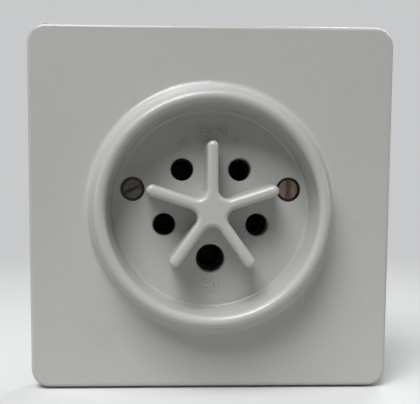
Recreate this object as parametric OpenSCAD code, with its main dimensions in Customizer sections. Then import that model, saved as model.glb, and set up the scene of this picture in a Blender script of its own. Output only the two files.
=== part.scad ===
// Five-pin three-phase flush wall socket with a square cover plate.
// Row frame: +X right, +Z up, the front faces -Y and the wall surface is the plane y = 0.
// The origin is the centre of the contact circle on the wall surface.
// Every piece is drawn face-on first, with x right, y up and z out of the wall, and facing() turns it.

/* [Cover plate] */
// Width and height of the square plate
plate_w = 92; // [90:1:100]
// Corner radius of the plate, seen from the front
plate_corner_r = 5; // [4:0.5:9]
// Rounding of the plate's front edge
plate_edge_r = 1; // [0.6:0.1:1.6]
// Lean of the plate's side walls, from the wall to the front
plate_draft = 0.3; // [0.1:0.1:0.6]
// Thickness of the plate's front skin
skin_t = 2.4; // [2:0.1:2.8]
// Thickness of the plate's side walls
side_t = 2.2; // [1.8:0.1:2.6]
// Width of the stiffening ribs behind the plate
rib_w = 1.6; // [1.2:0.1:2.2]

/* [Collar and recess] */
// Radius of the recess at its floor
recess_r = 25.1; // [24.8:0.1:26]
// How far the recess floor lies behind the plate's front
recess_sink = 1.6; // [1.2:0.1:2]
// Thickness of the recess floor
floor_t = 3.6; // [3.4:0.1:4]
// Gap between the support ring and the cover in front of it
cover_gap = 0.4; // [0.3:0.05:0.8]
// Rounding between the recess floor and the collar
floor_fillet_r = 0.8; // [0.4:0.1:1.4]
// Height of the collar in front of the plate
collar_h = 9.2; // [8:0.1:11]
// Outward lean of the collar's inner wall over its height
collar_lean = 0.5; // [0.2:0.1:0.8]
// Radius of the collar's rounded lip
lip_r = 1.5; // [1.3:0.1:1.9]
// Slope of the collar's outer flank, in degrees
flank_angle = 18; // [14:1:22]
// Fillet between the outer flank and the plate
foot_fillet_r = 1.6; // [1:0.1:2.4]
// Wall thickness of the hollow collar
collar_t = 2; // [1.7:0.1:2.2]

/* [Star] */
// Height of the star above the recess floor
star_h = 10.2; // [8:0.1:11]
// Reach of the arms' tips from the centre, at the floor
star_reach = 17.1; // [15:0.1:17.4]
// Width of an arm at the floor
arm_w = 3.5; // [3:0.1:4]
// Draft of the star's flanks, in degrees
arm_draft = 2.2; // [1:0.1:3]
// Width of the flat left along an arm's rounded top
arm_flat_w = 0.3; // [0.2:0.1:0.8]
// Radius of the hollow corners between the arms, at the floor
star_web_r = 2; // [1.5:0.1:3]

/* [Contacts] */
// Radius of the circle on which the five pins stand
contact_circle_r = 12.5; // [12.3:0.1:13]
// Radius of the four line and neutral pins
pin_r = 2.5; // [2.3:0.05:2.6]
// Radius of the earth pin
earth_pin_r = 3.25; // [3:0.05:3.4]
// Radial play of a pin in its entry hole
entry_play = 0.38; // [0.3:0.01:0.45]
// Radial play of a pin in the mouth of its chamber, behind the cover
mouth_play = 0.7; // [0.6:0.05:0.8]
// Radial play of a pin in the guide hole between that mouth and its contact
guide_play = 0.22; // [0.18:0.01:0.26]
// Radial play of a pin in its contact sleeve
sleeve_play = 0.025; // [0.01:0.005:0.045]
// Wall thickness of the contact sleeves
sleeve_t = 1.1; // [1:0.05:1.2]
// Depth of the pin bore in a contact
sleeve_depth = 13; // [11:0.5:13]
// Width of the slot that lets a sleeve spring
sleeve_slot_w = 1; // [0.8:0.1:1.2]
// Length of the clamping end of a contact
terminal_len = 10.8; // [10:0.1:12]
// Radius of the conductor bore
conductor_r = 1.9; // [1.7:0.05:2]
// Depth of the conductor bore
conductor_depth = 9.4; // [8.5:0.1:9.8]
// Thickness of a contact's spring ring
spring_t = 0.6; // [0.5:0.05:0.7]
// Width of a contact's spring ring
spring_w = 3; // [2.5:0.1:3.5]

/* [Screws] */
// Distance between the two cover screws
cover_screw_pitch = 39.7; // [39:0.1:40.6]
// Height of the cover screws above the centre of the contact circle
cover_screw_rise = 5.15; // [4.8:0.05:5.5]
// Thread radius of the cover screws
cover_screw_r = 1.45; // [1.35:0.05:1.5]
// Length of the cover screws under the head
cover_screw_len = 11; // [9:0.5:12]
// Head radius of the cover screws
cover_head_r = 2.6; // [2.5:0.05:2.75]
// Head height of the cover screws
cover_head_h = 1.8; // [1.6:0.1:1.9]
// Width of the slots in the cover screws
cover_slot_w = 1; // [0.8:0.1:1.3]
// Direction of the left cover screw's slot, in degrees
left_slot_angle = 23; // [0:1:179]
// Direction of the right cover screw's slot, in degrees
right_slot_angle = 90; // [0:1:179]
// Thread radius of the terminal screws
clamp_screw_r = 1.5; // [1.4:0.05:1.6]
// Head radius of the terminal screws
clamp_head_r = 2.8; // [2.6:0.05:3]
// Head height of the terminal screws
clamp_head_h = 2; // [1.6:0.1:2.2]

/* [Support ring] */
// Width of the support ring outside its box screw slots
ring_edge_w = 2.4; // [2:0.1:3.4]
// Sheet thickness of the support ring
ring_t = 1.4; // [1.2:0.1:1.5]
// Height of the ring's turned-up rim
ring_rim_h = 3; // [2.4:0.1:3.6]
// Distance between the two box screws
box_screw_pitch = 60; // [59.5:0.1:60.5]
// Half the width of a box screw slot
box_slot_r = 1.9; // [1.7:0.05:2]
// Length of a box screw slot, end to end
box_slot_len = 6.4; // [5:0.1:6.6]

/* [Socket base] */
// Wall of the moulded base outside the inserts of the cover screws
base_wall_t = 1.6; // [1.4:0.05:1.7]
// Depth of the base behind the wall surface
base_depth = 30; // [29.5:0.1:34]
// Thickness of the base in front of the contacts
base_face_t = 6.6; // [6:0.1:7]
// Width of the flange behind the support ring
flange_w = 2.2; // [1.8:0.1:2.3]
// Thickness of the flange
flange_t = 2.6; // [2.2:0.1:3]
// Distance of the rivets outside the base's wall
rivet_out = 2.8; // [2.6:0.1:3]
// Radius of the rivets
rivet_r = 1.25; // [1.1:0.05:1.3]
// Thickness of the rear plate
rear_t = 3; // [2.6:0.1:4]
// Radius of the wire holes in the rear plate
wire_hole_r = 3; // [2.6:0.1:3.4]
// Distance of the rear plate's screws inside the base's wall
rear_screw_in = 4.8; // [4.2:0.1:5.2]
// Thickness of the earth strap
strap_t = 0.8; // [0.6:0.1:0.9]
// Width of the earth strap
strap_w = 5; // [4.4:0.1:5.4]

/* [Hidden] */
$fn = 96;
eps = 0.01;

pin_names = ["earth", "neutral", "line_3", "line_2", "line_1"];
pin_angles = [-90, -18, 54, 126, 198];
star_angles = [90, 18, -54, -126, 162];
rivet_angles = [45, 135, -135, -45];
rear_screw_angles = [90, -54, -126];

// Levels along the viewing direction, measured out of the wall
floor_back_z = ring_t + cover_gap;
floor_z = floor_back_z + floor_t;
plate_h = floor_z + recess_sink;
skin_back_z = plate_h - skin_t;
base_front_z = floor_back_z;
rear_z = -base_depth;
lip_z = plate_h + collar_h;

// Collar section: lip centre, flank tangent point and the two fillet centres, as radius and level
lip_c = [recess_r + collar_lean + lip_r, lip_z - lip_r];
lean_angle = atan(collar_lean / (lip_c[1] - floor_z));
flank_n = [cos(flank_angle), sin(flank_angle)];
flank_top = lip_c + lip_r * flank_n;
flank_foot = [flank_top[0] + (flank_top[1] - plate_h) * tan(flank_angle), plate_h];
foot_c = [
    flank_top[0] + (foot_fillet_r - (plate_h + foot_fillet_r - flank_top[1]) * flank_n[1]) / flank_n[0],
    plate_h + foot_fillet_r
];
floor_c = [
    recess_r + floor_fillet_r * tan(lean_angle) - floor_fillet_r / cos(lean_angle),
    floor_z + floor_fillet_r
];

// Hollow of the collar, narrowing towards the lip
core_in = recess_r + collar_t;
core_out = flank_foot[0] - collar_t / cos(flank_angle);
core_slope = tan(lean_angle) + tan(flank_angle);
core_tip_w = 0.8;
core_tip_z = plate_h + (core_out - core_in - core_tip_w) / core_slope;

// Star section
arm_half = arm_w / 2;
star_top_z = floor_z + star_h;
star_root = 0.6;
arm_slope = tan(arm_draft);
arm_edge_r = (arm_half - star_h * arm_slope - arm_flat_w / 2) / (1 - arm_slope);
web_centre_r = (arm_half + star_web_r) / sin(36);
web_foot_r = web_centre_r * cos(36);

// Contacts: each chamber is stepped, and the step takes the push of the pin
chamber_play = 0.15;
contact_end_gap = 0.15;
contact_front_gap = 0.2;
contact_rear_z = rear_z + contact_end_gap;
base_face_back_z = base_front_z - base_face_t;
contact_front_z = base_face_back_z - contact_front_gap;
guide_len = 3.6;
guide_front_z = base_face_back_z + guide_len;
terminal_front_z = contact_rear_z + terminal_len;
spring_gap = 0.35;
spring_front = 1.6;
spring_seat = 0.3;
clamp_z = contact_rear_z + conductor_depth * 0.55;
clamp_tip_gap = 0.1;
clamp_driver_play = 0.4;
clamp_slot_w = 0.8;
terminal_wall = 2.85;

// Cover screws and their threaded inserts
screw_x = cover_screw_pitch / 2;
well_play = 0.5;
well_sink = 0.4;
well_z = floor_z - well_sink - cover_head_h;
cover_hole_play = 0.3;
thread_play = 0.05;
insert_t = 0.8;
insert_r = cover_screw_r + thread_play + insert_t;
insert_len = 9;
insert_sink = 0.4;
insert_front_z = base_front_z - insert_sink;

// Base and ring
base_r = norm([screw_x, cover_screw_rise]) + insert_r + base_wall_t;
flange_r = base_r + flange_w;
rivet_circle_r = base_r + rivet_out;
rear_screw_circle_r = base_r - rear_screw_in;
ring_r = box_screw_pitch / 2 + box_slot_len / 2 + ring_edge_w;
ring_play = 0.3;
base_skirt_chamfer = 0.6;
ear_r = 2.3;
rivet_head_r = 2;
rivet_head_h = 0.7;
rivet_front_gap = 0.05;
rear_screw_end_gap = 0.6;
strap_play = 0.4;
rear_screw_r = 1.45;
rear_screw_len = 8;
rear_head_r = 2.75;
rear_head_h = 1.6;
rear_play = 0.2;
wire_funnel = 0.8;
strap_hole_play = 0.15;
strap_level = -flange_t - 4;
strap_foot = 4;
strap_gap = 0.05;
strap_out = flange_r + 0.3;
entry_chamfer = 0.3;
mouth_chamfer = 0.3;

function radius_of_pin(i) = i == 0 ? earth_pin_r : pin_r;
function bore_r(i) = radius_of_pin(i) + sleeve_play;
function sleeve_r(i) = bore_r(i) + sleeve_t;
function terminal_r(i) = conductor_r + terminal_wall + (i == 0 ? 0.5 : 0);
function spring_r(i) = sleeve_r(i) - spring_seat + spring_t;
function chamber_r(i) = max(spring_r(i), sleeve_r(i)) + chamber_play;
function entry_r(i) = radius_of_pin(i) + entry_play;
function mouth_r(i) = radius_of_pin(i) + mouth_play;
function guide_r(i) = radius_of_pin(i) + guide_play;
function pin_place(i) = contact_circle_r * [cos(pin_angles[i]), sin(pin_angles[i])];

// Turns a face-on drawing so that it looks along -Y
module facing() {
    rotate([90, 0, 0])
        children();
}

module at_pin(i) {
    translate([pin_place(i)[0], pin_place(i)[1], 0])
        children();
}

// Turned so that +x points away from the centre of the socket
module at_pin_outward(i) {
    at_pin(i)
        rotate([0, 0, pin_angles[i]])
            children();
}

module at_screw(side) {
    translate([side * screw_x, cover_screw_rise, 0])
        children();
}

// A cylinder from one level to another
module post(r, z0, z1) {
    translate([0, 0, z0])
        cylinder(r = r, h = z1 - z0);
}

// Straight slot between two round ends, centred, along x
module slot_outline(r, len) {
    square([len - 2 * r, 2 * r], center = true);
    for (side = [-1, 1])
        translate([side * (len / 2 - r), 0])
            circle(r = r);
}

// Half section of the plate's edge: a leaning side and a rounded front edge
module edge_section(half, edge_r) {
    difference() {
        union() {
            polygon([
                [0, 0], [half, 0],
                [half - plate_draft, plate_h - edge_r],
                [half - plate_draft - edge_r, plate_h], [0, plate_h]
            ]);
            translate([half - plate_draft - edge_r, plate_h - edge_r])
                circle(r = edge_r);
        }
        translate([-half, -eps])
            square([half, plate_h + 1]);
    }
}

// Straight run of the plate, rounded along both of its long edges
module plate_run() {
    run = plate_w - 2 * plate_corner_r;
    translate([0, run / 2, 0])
        rotate([90, 0, 0])
            linear_extrude(height = run) {
                edge_section(plate_w / 2, plate_edge_r);
                mirror([1, 0])
                    edge_section(plate_w / 2, plate_edge_r);
            }
}

module plate_block() {
    plate_run();
    rotate([0, 0, 90])
        plate_run();
    for (turn = [0:3])
        rotate([0, 0, 90 * turn])
            translate([plate_w / 2 - plate_corner_r, plate_w / 2 - plate_corner_r, 0])
                rotate_extrude(angle = 90)
                    edge_section(plate_corner_r, plate_edge_r);
}

module plate_hollow() {
    inner_w = plate_w - 2 * side_t;
    inner_r = plate_corner_r - side_t;
    translate([0, 0, -1])
        linear_extrude(height = skin_back_z + 1) {
            square([inner_w, inner_w - 2 * inner_r], center = true);
            square([inner_w - 2 * inner_r, inner_w], center = true);
            for (sx = [-1, 1], sy = [-1, 1])
                translate([sx, sy] * (inner_w / 2 - inner_r))
                    circle(r = inner_r);
        }
}

// Ribs from the collar to the corners, clear of the steel ring
module plate_ribs() {
    rib_in = ring_r + 1;
    rib_out = (plate_w / 2 - side_t) * sqrt(2) - 1.5;
    for (turn = [0:3])
        rotate([0, 0, 45 + 90 * turn])
            translate([rib_in, -rib_w / 2, 1])
                cube([rib_out - rib_in, rib_w, skin_back_z - 1 + eps]);
}

// Section of the collar from the recess floor over the lip to the plate
module collar_section() {
    difference() {
        union() {
            translate([0, floor_back_z])
                square([recess_r + 1, floor_t]);
            polygon([
                [recess_r, floor_back_z], [recess_r, floor_z],
                [recess_r + collar_lean, lip_c[1]], lip_c, flank_top, flank_foot,
                [flank_foot[0], skin_back_z], [core_in, skin_back_z], [core_in, floor_back_z]
            ]);
            translate(lip_c)
                circle(r = lip_r);
            foot_fillet();
            floor_fillet();
        }
        collar_core();
    }
}

module foot_fillet() {
    difference() {
        polygon([
            foot_c - foot_fillet_r * flank_n, foot_c, [foot_c[0], skin_back_z],
            [core_out, skin_back_z], [core_out, plate_h]
        ]);
        translate(foot_c)
            circle(r = foot_fillet_r);
    }
}

module floor_fillet() {
    wall_n = [cos(lean_angle), -sin(lean_angle)];
    difference() {
        polygon([
            [floor_c[0], floor_z - 1], floor_c, floor_c + floor_fillet_r * wall_n,
            [recess_r + 1, floor_z + floor_fillet_r], [recess_r + 1, floor_z - 1]
        ]);
        translate(floor_c)
            circle(r = floor_fillet_r);
    }
}

module collar_core() {
    tip_x = core_in + (core_tip_z - plate_h) * tan(lean_angle);
    polygon([
        [core_in, floor_back_z - 1], [core_in, plate_h], [tip_x, core_tip_z],
        [tip_x + core_tip_w, core_tip_z], [core_out, plate_h], [core_out, floor_back_z - 1]
    ]);
}

// Half section of a star arm, from its middle plane, drafted and rounded at the top
module arm_half_section() {
    top_half = arm_half - (star_h - arm_edge_r) * arm_slope;
    polygon([
        [0, floor_z - star_root], [arm_half, floor_z - star_root], [arm_half, floor_z],
        [top_half, star_top_z - arm_edge_r], [top_half - arm_edge_r, star_top_z - arm_edge_r],
        [top_half - arm_edge_r, star_top_z], [0, star_top_z]
    ]);
    intersection() {
        translate([top_half - arm_edge_r, star_top_z - arm_edge_r])
            circle(r = arm_edge_r);
        translate([0, floor_z])
            square([arm_half, star_h]);
    }
}

// One arm, from the hub to its round tip
module star_arm() {
    tip = star_reach - arm_half;
    translate([web_foot_r, 0, 0])
        rotate([90, 0, 90])
            linear_extrude(height = tip - web_foot_r) {
                arm_half_section();
                mirror([1, 0])
                    arm_half_section();
            }
    translate([tip, 0, 0])
        rotate([0, 0, -90])
            rotate_extrude(angle = 180)
                arm_half_section();
}

// Section of the hollow corner between two arms, as a radius about the corner's own axis
module web_hollow_section() {
    top_r = star_web_r + (star_h - arm_edge_r) * arm_slope;
    difference() {
        polygon([
            [0, floor_z - 1], [star_web_r, floor_z - 1], [star_web_r, floor_z],
            [top_r, star_top_z - arm_edge_r], [top_r + arm_edge_r, star_top_z - arm_edge_r],
            [top_r + arm_edge_r, star_top_z + 1], [0, star_top_z + 1]
        ]);
        translate([top_r + arm_edge_r, star_top_z - arm_edge_r])
            circle(r = arm_edge_r);
    }
}

// Middle of the star: its corners reach the arms and the axes of the hollow corners
module star_hub() {
    difference() {
        translate([0, 0, floor_z - star_root])
            linear_extrude(height = star_h + star_root)
                polygon([
                    for (k = [0:9])
                        (k % 2 == 0 ? web_foot_r : web_centre_r) * [cos(18 + 36 * k), sin(18 + 36 * k)]
                ]);
        for (angle = star_angles)
            rotate([0, 0, angle + 36])
                translate([web_centre_r, 0, 0])
                    rotate_extrude()
                        web_hollow_section();
    }
}

module star() {
    star_hub();
    for (angle = star_angles)
        rotate([0, 0, angle])
            star_arm();
}

// Bores and screw wells through the recess floor
module floor_holes() {
    for (i = [0:4])
        at_pin(i) {
            post(entry_r(i), floor_back_z - 1, floor_z + 1);
            translate([0, 0, floor_z - entry_chamfer])
                cylinder(r1 = entry_r(i), r2 = entry_r(i) + 2 * entry_chamfer, h = 2 * entry_chamfer);
        }
    for (side = [-1, 1])
        at_screw(side) {
            post(cover_screw_r + cover_hole_play, floor_back_z - 1, floor_z);
            post(cover_head_r + well_play, well_z, floor_z + 1);
        }
}

module cover_plate() {
    color([0.9, 0.9, 0.88])
        facing()
            difference() {
                union() {
                    difference() {
                        plate_block();
                        plate_hollow();
                        post(core_out + eps, -1, plate_h + 1);
                    }
                    plate_ribs();
                    rotate_extrude()
                        collar_section();
                    star();
                }
                floor_holes();
            }
}

// A slotted screw drawn with its head's underside at level 0 and its shank going down
module slotted_screw(shank_r, len, head_r, head_h, slot_w) {
    tip = shank_r * 0.4;
    difference() {
        rotate_extrude()
            polygon([
                [0, -len], [shank_r - tip, -len], [shank_r, tip - len], [shank_r, 0],
                [head_r, 0], [head_r, head_h - 0.2], [head_r - 0.2, head_h], [0, head_h]
            ]);
        translate([-head_r - 1, -slot_w / 2, head_h * 0.45])
            cube([2 * head_r + 2, slot_w, head_h]);
    }
}

module cover_screw(side) {
    color([0.42, 0.39, 0.35])
        facing()
            at_screw(side)
                translate([0, 0, well_z])
                    rotate([0, 0, side < 0 ? left_slot_angle : right_slot_angle])
                        slotted_screw(cover_screw_r, cover_screw_len, cover_head_r, cover_head_h, cover_slot_w);
}

// Threaded brass insert of a cover screw, with a collar that keys it in the base
module screw_insert(side) {
    bore = cover_screw_r + thread_play;
    color([0.78, 0.64, 0.32])
        facing()
            at_screw(side)
                rotate_extrude()
                    polygon([
                        [bore, insert_front_z - insert_len], [bore, insert_front_z],
                        [insert_r, insert_front_z], [insert_r, insert_front_z - insert_len]
                    ]);
}

module support_ring() {
    color([0.72, 0.73, 0.72])
        facing()
            difference() {
                rotate_extrude()
                    polygon([
                        [base_r + ring_play, 0], [ring_r, 0], [ring_r, ring_rim_h],
                        [ring_r - ring_t, ring_rim_h], [ring_r - ring_t, ring_t], [base_r + ring_play, ring_t]
                    ]);
                translate([0, 0, -1])
                    linear_extrude(height = ring_t + 2)
                        for (side = [-1, 1])
                            translate([side * box_screw_pitch / 2, 0])
                                slot_outline(box_slot_r, box_slot_len);
                for (angle = rivet_angles)
                    rotate([0, 0, angle])
                        translate([rivet_circle_r, 0, 0])
                            post(rivet_r + thread_play, -1, ring_t + 1);
            }
}

// Outer form of the base: body, flange and the four riveting ears
module base_body() {
    rotate_extrude()
        polygon([
            [0, rear_z], [base_r - base_skirt_chamfer, rear_z], [base_r, rear_z + base_skirt_chamfer],
            [base_r, -flange_t], [flange_r, -flange_t], [flange_r, 0], [base_r, 0],
            [base_r, base_front_z], [0, base_front_z]
        ]);
    for (angle = rivet_angles)
        rotate([0, 0, angle]) {
            translate([rivet_circle_r, 0, 0])
                post(ear_r, -flange_t, 0);
            translate([base_r - 1, -ear_r, -flange_t])
                cube([rivet_circle_r - base_r + 1, 2 * ear_r, flange_t]);
        }
}

// Stepped chamber of one contact, with its mouth, its guide hole and its screwdriver window
module base_chamber(i) {
    at_pin(i)
        rotate_extrude()
            polygon([
                [0, base_front_z], [mouth_r(i) + mouth_chamfer, base_front_z],
                [mouth_r(i), base_front_z - mouth_chamfer],
                [mouth_r(i), guide_front_z + mouth_play - guide_play], [guide_r(i), guide_front_z],
                [guide_r(i), base_face_back_z], [chamber_r(i), base_face_back_z],
                [chamber_r(i), terminal_front_z], [terminal_r(i) + chamber_play, terminal_front_z],
                [terminal_r(i) + chamber_play, rear_z - 1], [0, rear_z - 1]
            ]);
    at_pin_outward(i)
        translate([0, 0, clamp_z])
            rotate([0, 90, 0])
                cylinder(r = clamp_head_r + clamp_driver_play, h = base_r);
}

// Channel through which the earth strap leaves the base
module strap_channel() {
    half = strap_w / 2 + strap_play;
    low = clamp_z - clamp_head_r - strap_play;
    translate([-half, -base_r - 1, low])
        cube([2 * half, base_r + 1 - contact_circle_r, strap_level + strap_play - low]);
}

module socket_base() {
    color([0.55, 0.5, 0.44])
        facing()
            difference() {
                base_body();
                for (i = [0:4])
                    base_chamber(i);
                strap_channel();
                for (side = [-1, 1])
                    at_screw(side) {
                        post(insert_r, insert_front_z - insert_len, base_front_z + 1);
                        post(cover_screw_r + cover_hole_play, insert_front_z - insert_len - 4, insert_front_z);
                    }
                for (angle = rivet_angles)
                    rotate([0, 0, angle])
                        translate([rivet_circle_r, 0, 0])
                            post(rivet_r + thread_play, -flange_t - 1, 1);
                for (angle = rear_screw_angles)
                    rotate([0, 0, angle])
                        translate([rear_screw_circle_r, 0, 0])
                            post(
                                rear_screw_r + thread_play, rear_z - 1,
                                rear_z - rear_t + rear_head_h + rear_screw_len + rear_screw_end_gap
                            );
            }
}

module rear_plate() {
    color([0.5, 0.45, 0.4])
        facing()
            difference() {
                rotate_extrude()
                    polygon([
                        [0, rear_z - rear_t], [base_r - 1, rear_z - rear_t], [base_r, rear_z - rear_t + 1],
                        [base_r, rear_z - base_skirt_chamfer], [base_r - base_skirt_chamfer, rear_z], [0, rear_z]
                    ]);
                for (i = [0:4])
                    at_pin(i) {
                        post(wire_hole_r, rear_z - rear_t - 1, rear_z + 1);
                        translate([0, 0, rear_z - rear_t - eps])
                            cylinder(r1 = wire_hole_r + wire_funnel, r2 = wire_hole_r, h = wire_funnel);
                    }
                for (angle = rear_screw_angles)
                    rotate([0, 0, angle])
                        translate([rear_screw_circle_r, 0, 0]) {
                            post(rear_screw_r + rear_play, rear_z - rear_t - 1, rear_z + 1);
                            post(rear_head_r + rear_play, rear_z - rear_t - 1, rear_z - rear_t + rear_head_h);
                        }
            }
}

// Turned contact: slotted spring sleeve in front, clamping end behind
module contact(i) {
    seat_top = contact_front_z - spring_front + spring_gap / 2;
    seat_low = seat_top - spring_w - spring_gap;
    color([0.8, 0.66, 0.34])
        facing()
            difference() {
                at_pin(i)
                    rotate_extrude()
                        polygon([
                            [bore_r(i), contact_front_z], [sleeve_r(i), contact_front_z],
                            [sleeve_r(i), seat_top], [sleeve_r(i) - spring_seat, seat_top],
                            [sleeve_r(i) - spring_seat, seat_low], [sleeve_r(i), seat_low],
                            [sleeve_r(i), terminal_front_z], [terminal_r(i), terminal_front_z],
                            [terminal_r(i), contact_rear_z], [conductor_r, contact_rear_z],
                            [conductor_r, contact_rear_z + conductor_depth],
                            [0, contact_rear_z + conductor_depth],
                            [0, contact_front_z - sleeve_depth], [bore_r(i), contact_front_z - sleeve_depth]
                        ]);
                at_pin_outward(i) {
                    translate([-sleeve_r(i) - 1, -sleeve_slot_w / 2, contact_front_z - sleeve_depth + 3])
                        cube([2 * sleeve_r(i) + 2, sleeve_slot_w, sleeve_depth]);
                    translate([0, 0, clamp_z])
                        rotate([0, 90, 0])
                            cylinder(r = clamp_screw_r + thread_play, h = terminal_r(i) + 1);
                }
            }
}

// Spring ring that presses a sleeve onto its pin, open on one side
module spring(i) {
    top = contact_front_z - spring_front;
    inner = sleeve_r(i) - spring_seat + eps;
    color([0.62, 0.64, 0.66])
        facing()
            at_pin_outward(i)
                difference() {
                    post(spring_r(i), top - spring_w, top);
                    post(inner, top - spring_w - 1, top + 1);
                    translate([0, -sleeve_slot_w, top - spring_w - 1])
                        cube([spring_r(i) + 1, 2 * sleeve_slot_w, spring_w + 2]);
                }
}

// Slotted screw that clamps the conductor, and the earth strap as well on the earth contact
module clamp_screw(i) {
    under_head = terminal_r(i) + (i == 0 ? strap_t + 2 * strap_gap : strap_gap);
    color([0.7, 0.7, 0.68])
        facing()
            at_pin_outward(i)
                translate([under_head, 0, clamp_z])
                    rotate([0, 90, 0])
                        slotted_screw(
                            clamp_screw_r, under_head - conductor_r - clamp_tip_gap,
                            clamp_head_r, clamp_head_h, clamp_slot_w
                        );
}

// Side view of the strap: distance from the centre and level out of the wall
module strap_outline() {
    inner = contact_circle_r + terminal_r(0) + strap_gap;
    low = clamp_z - clamp_head_r;
    polygon([
        [inner, low], [inner + strap_t, low], [inner + strap_t, strap_level - strap_t],
        [strap_out + strap_t, strap_level - strap_t], [strap_out + strap_t, -strap_t],
        [strap_out + strap_foot, -strap_t], [strap_out + strap_foot, 0], [strap_out, 0],
        [strap_out, strap_level], [inner, strap_level]
    ]);
}

module earth_strap() {
    color([0.8, 0.68, 0.38])
        facing()
            rotate([0, 0, -90])
                difference() {
                    translate([0, strap_w / 2, 0])
                        rotate([90, 0, 0])
                            linear_extrude(height = strap_w)
                                strap_outline();
                    translate([contact_circle_r, 0, clamp_z])
                        rotate([0, 90, 0])
                            cylinder(r = clamp_screw_r + strap_hole_play, h = base_r / 2);
                }
}

// Hollow rivet through the ring and an ear of the base
module rivet(angle) {
    color([0.76, 0.74, 0.7])
        facing()
            rotate([0, 0, angle])
                translate([rivet_circle_r, 0, 0])
                    rotate_extrude()
                        polygon([
                            [rivet_r / 2, -flange_t - rivet_head_h], [rivet_head_r, -flange_t - rivet_head_h],
                            [rivet_head_r, -flange_t], [rivet_r, -flange_t], [rivet_r, ring_t],
                            [rivet_head_r, ring_t], [rivet_head_r, floor_back_z - rivet_front_gap],
                            [rivet_r / 2, floor_back_z - rivet_front_gap]
                        ]);
}

module rear_screw(angle) {
    color([0.66, 0.66, 0.64])
        facing()
            rotate([0, 0, angle])
                translate([rear_screw_circle_r, 0, rear_z - rear_t + rear_head_h])
                    mirror([0, 0, 1])
                        slotted_screw(rear_screw_r, rear_screw_len, rear_head_r, rear_head_h, clamp_slot_w);
}

cover_plate();
cover_screw(-1);  // cover_screw_left
cover_screw(1);  // cover_screw_right
screw_insert(-1);  // screw_insert_left
screw_insert(1);  // screw_insert_right
support_ring();
socket_base();
rear_plate();
for (i = [0:4]) {
    contact(i);
    spring(i);
    clamp_screw(i);
}
earth_strap();
rivet(rivet_angles[0]);  // rivet_upper_right
rivet(rivet_angles[1]);  // rivet_upper_left
rivet(rivet_angles[2]);  // rivet_lower_left
rivet(rivet_angles[3]);  // rivet_lower_right
rear_screw(rear_screw_angles[0]);  // rear_screw_top
rear_screw(rear_screw_angles[1]);  // rear_screw_right
rear_screw(rear_screw_angles[2]);  // rear_screw_left
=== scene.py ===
"""Looks, light and camera for the wall socket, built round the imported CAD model."""

import math

import bmesh
import bpy
from mathutils import Matrix, Vector


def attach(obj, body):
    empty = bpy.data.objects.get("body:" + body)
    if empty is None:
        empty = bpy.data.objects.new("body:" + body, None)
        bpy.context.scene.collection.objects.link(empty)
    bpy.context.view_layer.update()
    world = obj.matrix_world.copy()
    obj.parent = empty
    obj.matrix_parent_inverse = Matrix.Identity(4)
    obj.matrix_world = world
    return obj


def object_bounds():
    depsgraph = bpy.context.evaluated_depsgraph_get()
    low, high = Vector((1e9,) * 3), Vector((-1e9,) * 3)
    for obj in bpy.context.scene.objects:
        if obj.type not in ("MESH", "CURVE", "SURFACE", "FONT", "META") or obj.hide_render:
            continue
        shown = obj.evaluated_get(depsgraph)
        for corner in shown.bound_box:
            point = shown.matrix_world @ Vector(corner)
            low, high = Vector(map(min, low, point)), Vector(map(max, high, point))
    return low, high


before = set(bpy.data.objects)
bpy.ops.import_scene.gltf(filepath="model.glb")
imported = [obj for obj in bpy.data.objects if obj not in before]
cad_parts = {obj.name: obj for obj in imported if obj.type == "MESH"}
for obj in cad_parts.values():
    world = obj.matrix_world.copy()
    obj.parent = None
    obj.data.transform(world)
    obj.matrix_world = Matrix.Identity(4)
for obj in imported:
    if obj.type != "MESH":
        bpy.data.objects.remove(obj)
cad_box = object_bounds()

MM = 0.001


def rgb(red, green, blue):
    """A colour written as it shows on a screen, 0 to 255, as the shader wants it."""
    def linear(level):
        share = level / 255
        return share / 12.92 if share <= 0.04045 else ((share + 0.055) / 1.055) ** 2.4
    return (linear(red), linear(green), linear(blue), 1.0)


# Camera: fitted to the plate's corners, the holes, the screws and the star
CAMERA_DISTANCE = 160 * MM
CAMERA_AIM = Vector((-3.9, 0, -6.9)) * MM
CAMERA_AZIMUTH = math.radians(1.97)
CAMERA_ELEVATION = math.radians(4.17)
CAMERA_ROLL = math.radians(0.29)
IMAGE_WIDTH_PX = 420
FOCAL_PX = 604
SHIFT_RIGHT_PX = 15.6
SHIFT_DOWN_PX = 32.8
SENSOR_WIDTH = 36

# Soft square lamps: direction from the part and power in watts
LAMPS = {
    "window": ((-0.265, -0.565, 0.79), 7.7),
    "window_top": ((-0.12, -0.29, 0.95), 3.0),
    "window_side": ((-0.47, -0.40, 0.79), 0.8),
    "soft_right": ((0.98, -0.17, 0.09), 1.7),
    "soft_left": ((-0.98, -0.17, 0.09), 0.8),
    "soft_rear": ((0.5, 0.8, 0.7), 4.0),
}
LAMP_DISTANCE = 1.0
LAMP_SIDE = 0.5
LAMP_TINT = (0.965, 0.985, 1.0)
ROOM_TINT = (0.97, 0.985, 1.0, 1.0)
ROOM_LIGHT = 0.02

# Backdrop, the floor, and how far out the floor fades into the backdrop, in metres
BACKDROP = rgb(200, 201, 202)
FLOOR_HALF = 3.0
FLOOR_GAP = 0.2 * MM
FADE_FROM = 0.1
FADE_TO = 0.4

# Tone of the floor for the light that it throws up, near the part and from there on outwards
BOUNCE_NEAR = rgb(198, 198, 197)
BOUNCE_FAR = rgb(40, 40, 40)
BOUNCE_FROM = 0.08
BOUNCE_TO = 0.22

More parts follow.
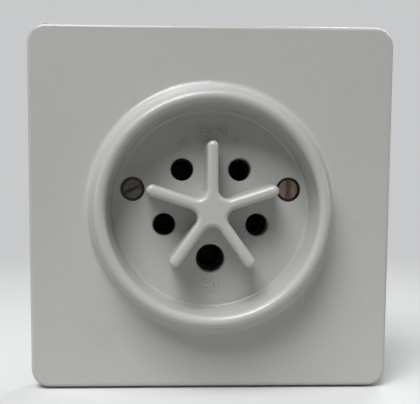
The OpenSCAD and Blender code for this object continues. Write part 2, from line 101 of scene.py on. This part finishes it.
# Plain raised numbers on the recess floor: text, middle of the line and height of the digits
FLOOR_FRONT = -5.4 * MM
MARK_RELIEF = 0.22 * MM
MARK_BEVEL = 0.05 * MM
MARKS = {
    "mark_top": ("16 400", 0.4 * MM, 19.9 * MM, 2.3 * MM),
    "mark_left": ("2", -7.1 * MM, 16.2 * MM, 2.3 * MM),
    "mark_right": ("3", 6.6 * MM, 16.2 * MM, 2.3 * MM),
    "mark_low": ("50", 0.0 * MM, -19.6 * MM, 3.0 * MM),
}
# Height of a digit as a share of the font's size
DIGIT_SHARE = 0.73

# The two screws: middle of the head across and up, radii of the well and the head, and the slot
LEFT_SCREW = (-19.85 * MM, 5.15 * MM)
RIGHT_SCREW = (19.85 * MM, 5.15 * MM)
WELL_R = 3.1 * MM
HEAD_R = 2.6 * MM
HEAD_FRONT = -5.0 * MM
SLOT_FLOOR = -4.02 * MM
SLOT_HALF = 0.5 * MM
LEFT_SLOT = math.radians(23)
RIGHT_SLOT = math.radians(90)

# Dirt in the slots: grid over the slot, gaps to its ends and sides, height of lumps and of the rim
DIRT_STEPS = 24
DIRT_ROWS = 4
DIRT_END_GAP = 0.12 * MM
DIRT_SIDE_GAP = 0.01 * MM
DIRT_LUMP = 0.035 * MM
DIRT_RIM = 0.06 * MM

# Where the bore of a contact ends, behind which the brass is bright
SLEEVE_END = 18 * MM

BRASS_DULL = rgb(176, 142, 80)
BRASS_BRIGHT = rgb(206, 174, 110)

# Small nicks in the plate's edge and one on the collar: place and radius
NICKS = [
    ((-41.1 * MM, -6.4 * MM, 45.7 * MM), 0.7 * MM),
    ((-9.4 * MM, -6.4 * MM, 45.7 * MM), 0.55 * MM),
    ((45.6 * MM, -6.4 * MM, 21.4 * MM), 0.6 * MM),
    ((22.4 * MM, -14.0 * MM, 16.6 * MM), 0.5 * MM),
]


class Shader:
    """A material with one Principled shader, and short ways to add nodes to it."""

    def __init__(self, name):
        self.material = bpy.data.materials.new(name)
        self.material.use_nodes = True
        self.nodes = self.material.node_tree.nodes
        self.links = self.material.node_tree.links
        self.principled = self.nodes["Principled BSDF"]
        self.place = self.add("ShaderNodeTexCoord").outputs["Object"]

    def add(self, kind, **inputs):
        node = self.nodes.new(kind)
        for name, value in inputs.items():
            self.feed(node.inputs[name.replace("_", " ")], value)
        return node

    def feed(self, socket, value):
        if isinstance(value, bpy.types.NodeSocket):
            self.links.new(value, socket)
        else:
            socket.default_value = value

    def set(self, name, value):
        self.feed(self.principled.inputs[name], value)

    def noise(self, scale, detail=3.0):
        """Noise with scale in features per metre."""
        node = self.add("ShaderNodeTexNoise", Vector=self.place, Scale=scale, Detail=detail)
        return node.outputs["Fac"]

    def ramp(self, factor, low, high):
        """factor spread so that low becomes 0 and high becomes 1."""
        node = self.add("ShaderNodeMapRange", Value=factor, From_Min=low, From_Max=high)
        node.interpolation_type = "SMOOTHSTEP"
        return node.outputs[0]

    def mix(self, factor, first, second):
        node = self.nodes.new("ShaderNodeMix")
        node.data_type = "RGBA"
        self.feed(node.inputs[0], factor)
        self.feed(node.inputs[6], first)
        self.feed(node.inputs[7], second)
        return node.outputs[2]

    def math(self, operation, first, second=0.0):
        node = self.nodes.new("ShaderNodeMath")
        node.operation = operation
        self.feed(node.inputs[0], first)
        self.feed(node.inputs[1], second)
        return node.outputs[0]

    def times(self, first, second):
        return self.math("MULTIPLY", first, second)

    def patches(self, scale, detail, low, high):
        """Noise as soft-edged patches: 0 where it is under low and 1 where it is over high."""
        return self.ramp(self.noise(scale, detail), low, high)

    def between(self, factor, low, high):
        """A number that runs from low to high with factor."""
        node = self.add("ShaderNodeMapRange", Value=factor, To_Min=low, To_Max=high)
        return node.outputs[0]

    def near(self, point, radius):
        """1 within half of radius of a point and 0 beyond radius, in metres."""
        node = self.nodes.new("ShaderNodeVectorMath")
        node.operation = "DISTANCE"
        self.feed(node.inputs[0], self.place)
        node.inputs[1].default_value = point
        return self.ramp(node.outputs["Value"], radius, radius / 2)

    def along(self, axis):
        """The place along x, y or z, in metres."""
        return self.add("ShaderNodeSeparateXYZ", Vector=self.place).outputs["XYZ".index(axis)]

    def from_axis(self, across, up):
        """Distance from a line along y, in metres."""
        side = self.math("SUBTRACT", self.along("X"), across)
        rise = self.math("SUBTRACT", self.along("Z"), up)
        squares = self.math("ADD", self.times(side, side), self.times(rise, rise))
        return self.math("SQRT", squares)

    def bump(self, height, depth):
        """Lets the surface stand up by height times depth, in metres."""
        self.set("Normal", self.add("ShaderNodeBump", Height=height, Distance=depth).outputs[0])


def cover_plastic():
    """White gloss plastic, a little uneven and yellowed, with a few small nicks, and painted shade
    on the walls of the screw wells.
    """
    shader = Shader("cover_plastic")
    tone = shader.mix(shader.noise(35), rgb(191, 190, 187), rgb(195, 194, 190))
    tone = shader.mix(shader.times(shader.noise(2600, 2), 0.5), tone, rgb(188, 187, 183))
    warm = shader.patches(110, 4, 0.5, 0.8)
    tone = shader.mix(shader.times(warm, 0.4), tone, rgb(189, 183, 169))
    for place, radius in NICKS:
        nick = shader.times(shader.near(place, radius), 0.75)
        tone = shader.mix(nick, tone, rgb(92, 86, 78))
    # Painted shade: behind the floor's front, the walls of the screw wells are painted near black
    # where the gap round each screw head lies in shade.
    sunk = shader.ramp(shader.along("Y"), FLOOR_FRONT, FLOOR_FRONT + 0.25 * MM)
    for across, up in (LEFT_SCREW, RIGHT_SCREW):
        well = shader.ramp(shader.from_axis(across, up), WELL_R + 0.25 * MM, WELL_R + 0.05 * MM)
        tone = shader.mix(shader.times(well, sunk), tone, rgb(44, 38, 33))
    shader.set("Base Color", tone)
    shader.set("Roughness", shader.between(shader.noise(60), 0.17, 0.22))
    shader.set("IOR", 1.5)
    shader.bump(shader.noise(500, 2), 0.000015)
    return shader.material


def thermoset(name, dark, light):
    """Moulded thermoset with fine filler grain."""
    shader = Shader(name)
    tone = shader.mix(shader.patches(120, 4, 0.35, 0.65), dark, light)
    fleck = shader.patches(2600, 2, 0.62, 0.74)
    shader.set("Base Color", shader.mix(shader.times(fleck, 0.3), tone, light))
    shader.set("Roughness", shader.between(shader.noise(300), 0.42, 0.6))
    shader.bump(shader.noise(1800, 3), 0.00003)
    return shader.material


def metal(name, dull, bright, rough_low, rough_high, grain_scale):
    """Bare or plated metal: the tone drifts between dull and bright, with a fine grain."""
    shader = Shader(name)
    shader.set("Base Color", shader.mix(shader.patches(140, 4, 0.35, 0.65), dull, bright))
    shader.set("Metallic", 1.0)
    grain = shader.noise(grain_scale)
    shader.set("Roughness", shader.between(grain, rough_low, rough_high))
    shader.bump(grain, 0.00001)
    return shader.material


def tarnished_screw_with_rim_shade(name, centre, face, stain, band=None):
    """An old plated screw gone dull, with painted shade round the edge of its head, and with a
    brown band if one is given.
    """
    shader = Shader(name)
    tone = shader.mix(shader.patches(900, 4, 0.4, 0.66), face, stain)
    if band:
        offset, half_width, colour = band
        middle = centre[0] + offset
        side = shader.math("ABSOLUTE", shader.math("SUBTRACT", shader.along("X"), middle))
        inside = shader.ramp(side, half_width + 0.15 * MM, half_width - 0.1 * MM)
        tone = shader.mix(shader.times(inside, 0.85), tone, colour)
    # Painted shade: the outer rim of the head is painted near black, as the gap round the head lies
    # in shade.
    edge = shader.ramp(shader.from_axis(*centre), HEAD_R - 0.3 * MM, HEAD_R - 0.02 * MM)
    shader.set("Base Color", shader.mix(shader.times(edge, 0.8), tone, rgb(34, 29, 25)))
    shader.set("Metallic", 0.5)
    shader.set("Roughness", shader.between(shader.noise(1500, 3), 0.42, 0.62))
    shader.bump(shader.noise(2500, 3), 0.00004)
    return shader.material


def old_contact():
    """Turned brass, bright where it was machined last and dark with age down its bore."""
    shader = Shader("contact_brass")
    cloud = shader.patches(140, 4, 0.35, 0.65)
    bright = shader.mix(cloud, BRASS_DULL, BRASS_BRIGHT)
    stain = shader.mix(shader.noise(700, 3), rgb(76, 73, 69), rgb(92, 88, 82))
    aged = shader.ramp(shader.along("Y"), SLEEVE_END + 1.5 * MM, SLEEVE_END + 0.5 * MM)
    shader.set("Base Color", shader.mix(aged, bright, stain))
    shader.set("Metallic", shader.math("SUBTRACT", 1.0, shader.times(aged, 0.7)))
    grain = shader.noise(900)
    rough = shader.between(grain, 0.25, 0.4)
    shader.set("Roughness", shader.math("ADD", rough, shader.times(aged, 0.3)))
    shader.bump(grain, 0.00001)
    return shader.material


def node_materials():
    """One material for each CAD node, by the start of the node's name."""
    base = thermoset("base_thermoset", rgb(58, 42, 34), rgb(74, 55, 45))
    brass = metal("brass", BRASS_DULL, BRASS_BRIGHT, 0.25, 0.42, 900)
    zinc = metal("zinc_plate", rgb(150, 153, 156), rgb(184, 187, 190), 0.28, 0.5, 500)
    spring = metal("spring_steel", rgb(112, 114, 118), rgb(146, 148, 152), 0.22, 0.36, 1200)
    rivet = metal("rivet_plate", rgb(158, 152, 138), rgb(190, 184, 170), 0.3, 0.45, 900)
    return {
        "cover_plate": cover_plastic(),
        "cover_screw_left": tarnished_screw_with_rim_shade(
            "left_screw_steel", LEFT_SCREW, rgb(98, 92, 86), rgb(70, 64, 59),
        ),
        "cover_screw_right": tarnished_screw_with_rim_shade(
            "right_screw_steel", RIGHT_SCREW, rgb(126, 115, 101), rgb(108, 96, 82),
            (0.15 * MM, 0.72 * MM, rgb(94, 73, 58)),
        ),
        "screw_insert": brass,
        "support_ring": zinc,
        "socket_base": base,
        "rear_plate": base,
        "contact": old_contact(),
        "spring": spring,
        "clamp_screw": zinc,
        "earth_strap": brass,
        "rivet": rivet,
        "rear_screw": zinc,
    }


def dress_nodes():
    """Gives each CAD node the material whose key is the longest start of its name."""
    materials = node_materials()
    for name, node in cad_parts.items():
        key = max((k for k in materials if name.startswith(k)), key=len)
        node.data.materials.clear()
        node.data.materials.append(materials[key])


def link_mesh(name, mesh):
    piece = bpy.data.objects.new(name, mesh)
    bpy.context.scene.collection.objects.link(piece)
    return piece


def raised_mark(name, text, across, up, height, material):
    """Plain digits that stand a little out of the recess floor."""
    letters = bpy.data.curves.new(name, "FONT")
    letters.body = text
    letters.size = height / DIGIT_SHARE
    letters.align_x = "CENTER"
    letters.align_y = "CENTER"
    letters.extrude = MARK_RELIEF
    letters.bevel_depth = MARK_BEVEL
    letters.bevel_resolution = 2
    drawn = bpy.data.objects.new(name, letters)
    bpy.context.scene.collection.objects.link(drawn)
    bpy.context.view_layer.update()
    solid = drawn.evaluated_get(bpy.context.evaluated_depsgraph_get())
    mesh = bpy.data.meshes.new_from_object(solid)
    bpy.data.objects.remove(drawn)
    upright = Matrix.Rotation(math.pi / 2, 4, "X")
    mesh.transform(Matrix.Translation((across, FLOOR_FRONT, up)) @ upright)
    mesh.materials.clear()
    mesh.materials.append(material)
    piece = link_mesh(name, mesh)
    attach(piece, "root")


def make_marks():
    """The raised numbers, painted a little lighter than the floor as a painted highlight, in soft
    patches of two light tones.
    """
    shader = Shader("mark_painted_highlight")
    mark_patches = shader.patches(900, 3, 0.4, 0.6)
    # Painted highlight: both tones are lighter than the plate, standing in for the light that
    # catches the raised digits.
    shader.set("Base Color", shader.mix(mark_patches, rgb(208, 205, 200), rgb(196, 194, 190)))
    shader.set("Roughness", shader.between(shader.noise(60), 0.25, 0.35))
    for name, (text, across, up, height) in MARKS.items():
        raised_mark(name, text, across, up, height, shader.material)


def slot_dirt(name, centre, angle, front, tone, other):
    """Dirt and rust packed in a screw's slot, a little below the head, with an uneven top."""
    steps, rows = DIRT_STEPS, DIRT_ROWS
    half = HEAD_R - DIRT_END_GAP
    verts, faces = [], []
    for row in range(rows + 1):
        side = (2 * row / rows - 1) * (SLOT_HALF - DIRT_SIDE_GAP)
        reach = math.sqrt(half * half - side * side)
        rim = DIRT_RIM if row in (0, rows) else 0.0
        for step in range(steps + 1):
            run = (2 * step / steps - 1) * reach
            coarse = math.sin(9100 * run + 2.1) * math.cos(7300 * side + 0.7)
            fine = 0.5 * math.sin(23000 * run)
            x = centre[0] + run * math.cos(angle) - side * math.sin(angle)
            z = centre[1] + run * math.sin(angle) + side * math.cos(angle)
            verts.append((x, front + DIRT_LUMP * (coarse + fine) - rim, z))
    for row in range(rows):
        for step in range(steps):
            corner = row * (steps + 1) + step
            faces.append((corner, corner + steps + 1, corner + steps + 2, corner + 1))
    mesh = bpy.data.meshes.new(name)
    mesh.from_pydata(verts, [], faces)
    grow = bmesh.new()
    grow.from_mesh(mesh)
    bottom = bmesh.ops.extrude_face_region(grow, geom=grow.faces[:])
    for vert in (v for v in bottom["geom"] if isinstance(v, bmesh.types.BMVert)):
        vert.co.y = SLOT_FLOOR
    bmesh.ops.recalc_face_normals(grow, faces=grow.faces[:])
    grow.to_mesh(mesh)
    grow.free()
    shader = Shader(name)
    shader.set("Base Color", shader.mix(shader.patches(1800, 4, 0.35, 0.65), tone, other))
    shader.set("Roughness", 0.85)
    shader.bump(shader.noise(4000, 3), 0.00005)
    mesh.materials.append(shader.material)
    piece = link_mesh(name, mesh)
    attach(piece, "root")


def make_slot_dirt():
    """Grey dirt nearly level with the head in the left slot, and brown rust in the right one."""
    slot_dirt(
        "slot_dirt_left", LEFT_SCREW, LEFT_SLOT, HEAD_FRONT + 0.1 * MM,
        rgb(88, 82, 76), rgb(66, 61, 56),
    )
    slot_dirt(
        "slot_dirt_right", RIGHT_SCREW, RIGHT_SLOT, HEAD_FRONT + 0.12 * MM,
        rgb(96, 75, 60), rgb(80, 62, 50),
    )


def seen_rays(nodes, links):
    """1 for the rays that show a surface to the eye, also in a mirror or through glass."""
    path = nodes.new("ShaderNodeLightPath")
    seen = path.outputs["Is Camera Ray"]
    for kind in ("Is Glossy Ray", "Is Transmission Ray"):
        either = nodes.new("ShaderNodeMath")
        either.operation = "MAXIMUM"
        links.new(seen, either.inputs[0])
        links.new(path.outputs[kind], either.inputs[1])
        seen = either.outputs[0]
    return seen


def floor_material():
    """Pale to the eye and faded into the backdrop further off, where it throws little light up."""
    shader = Shader("stage_floor")
    seen = seen_rays(shader.nodes, shader.links)
    pale = shader.mix(shader.patches(6, 3, 0.3, 0.7), rgb(222, 222, 220), rgb(226, 226, 224))
    length = shader.nodes.new("ShaderNodeVectorMath")
    length.operation = "LENGTH"
    shader.feed(length.inputs[0], shader.place)
    distance = length.outputs["Value"]
    away = shader.ramp(distance, FADE_FROM, FADE_TO)
    shown = shader.mix(away, pale, rgb(0, 0, 0))
    near = shader.ramp(distance, BOUNCE_TO, BOUNCE_FROM)
    bounce = shader.mix(near, BOUNCE_FAR, BOUNCE_NEAR)
    shader.set("Base Color", shader.mix(seen, bounce, shown))
    shader.set("Emission Color", BACKDROP)
    shader.set("Emission Strength", shader.math("MULTIPLY", seen, away))
    shader.set("Specular IOR Level", 0.0)
    shader.set("Roughness", 0.7)
    return shader.material


def make_floor():
    """A plain pale floor just under the plate's lower edge."""
    half = FLOOR_HALF
    level = cad_box[0][2] - FLOOR_GAP
    corners = [(-half, -half), (half, -half), (half, half), (-half, half)]
    mesh = bpy.data.meshes.new("stage_floor")
    mesh.from_pydata([(x, y, level) for x, y in corners], [], [(0, 1, 2, 3)])
    mesh.materials.append(floor_material())
    link_mesh("stage_floor", mesh)


def make_lights():
    """Soft square lamps that look at the origin."""
    for name, (direction, power) in LAMPS.items():
        lamp = bpy.data.lights.new(name, "AREA")
        lamp.shape = "SQUARE"
        lamp.size = LAMP_SIDE
        lamp.energy = power
        lamp.color = LAMP_TINT
        holder = bpy.data.objects.new(name, lamp)
        bpy.context.scene.collection.objects.link(holder)
        place = Vector(direction).normalized() * LAMP_DISTANCE
        holder.location = place
        holder.rotation_euler = (-place).to_track_quat("-Z", "Y").to_euler()


def make_world():
    """A little even light, and a pale backdrop for the rays that look past the part."""
    world = bpy.data.worlds.new("studio")
    bpy.context.scene.world = world
    world.use_nodes = True
    nodes = world.node_tree.nodes
    links = world.node_tree.links
    light = nodes["Background"]
    light.inputs["Color"].default_value = ROOM_TINT
    light.inputs["Strength"].default_value = ROOM_LIGHT
    backdrop = nodes.new("ShaderNodeBackground")
    backdrop.inputs["Color"].default_value = BACKDROP
    backdrop.inputs["Strength"].default_value = 1.0
    mix = nodes.new("ShaderNodeMixShader")
    links.new(seen_rays(nodes, links), mix.inputs[0])
    links.new(light.outputs[0], mix.inputs[1])
    links.new(backdrop.outputs[0], mix.inputs[2])
    links.new(mix.outputs[0], nodes["World Output"].inputs["Surface"])


def make_camera():
    """The camera at the photograph's viewing angle."""
    azimuth, elevation = CAMERA_AZIMUTH, CAMERA_ELEVATION
    forward = Vector((
        math.sin(azimuth) * math.cos(elevation),
        math.cos(azimuth) * math.cos(elevation),
        -math.sin(elevation),
    ))
    level_right = Vector((math.cos(azimuth), -math.sin(azimuth), 0))
    level_up = level_right.cross(forward)
    right = math.cos(CAMERA_ROLL) * level_right + math.sin(CAMERA_ROLL) * level_up
    up = right.cross(forward)
    place = CAMERA_AIM - CAMERA_DISTANCE * forward
    data = bpy.data.cameras.new("camera")
    data.sensor_fit = "HORIZONTAL"
    data.sensor_width = SENSOR_WIDTH
    data.lens = SENSOR_WIDTH * FOCAL_PX / IMAGE_WIDTH_PX
    data.shift_x = SHIFT_RIGHT_PX / IMAGE_WIDTH_PX
    data.shift_y = SHIFT_DOWN_PX / IMAGE_WIDTH_PX
    data.clip_start = 0.01
    data.clip_end = 20
    camera = bpy.data.objects.new("camera", data)
    bpy.context.scene.collection.objects.link(camera)
    axes = Matrix((right, up, -forward)).transposed()
    camera.matrix_world = Matrix.Translation(place) @ axes.to_4x4()
    bpy.context.scene.camera = camera


bpy.context.scene.view_settings.view_transform = "Standard"
dress_nodes()
make_marks()
make_slot_dirt()
make_floor()
make_lights()
make_world()
make_camera()
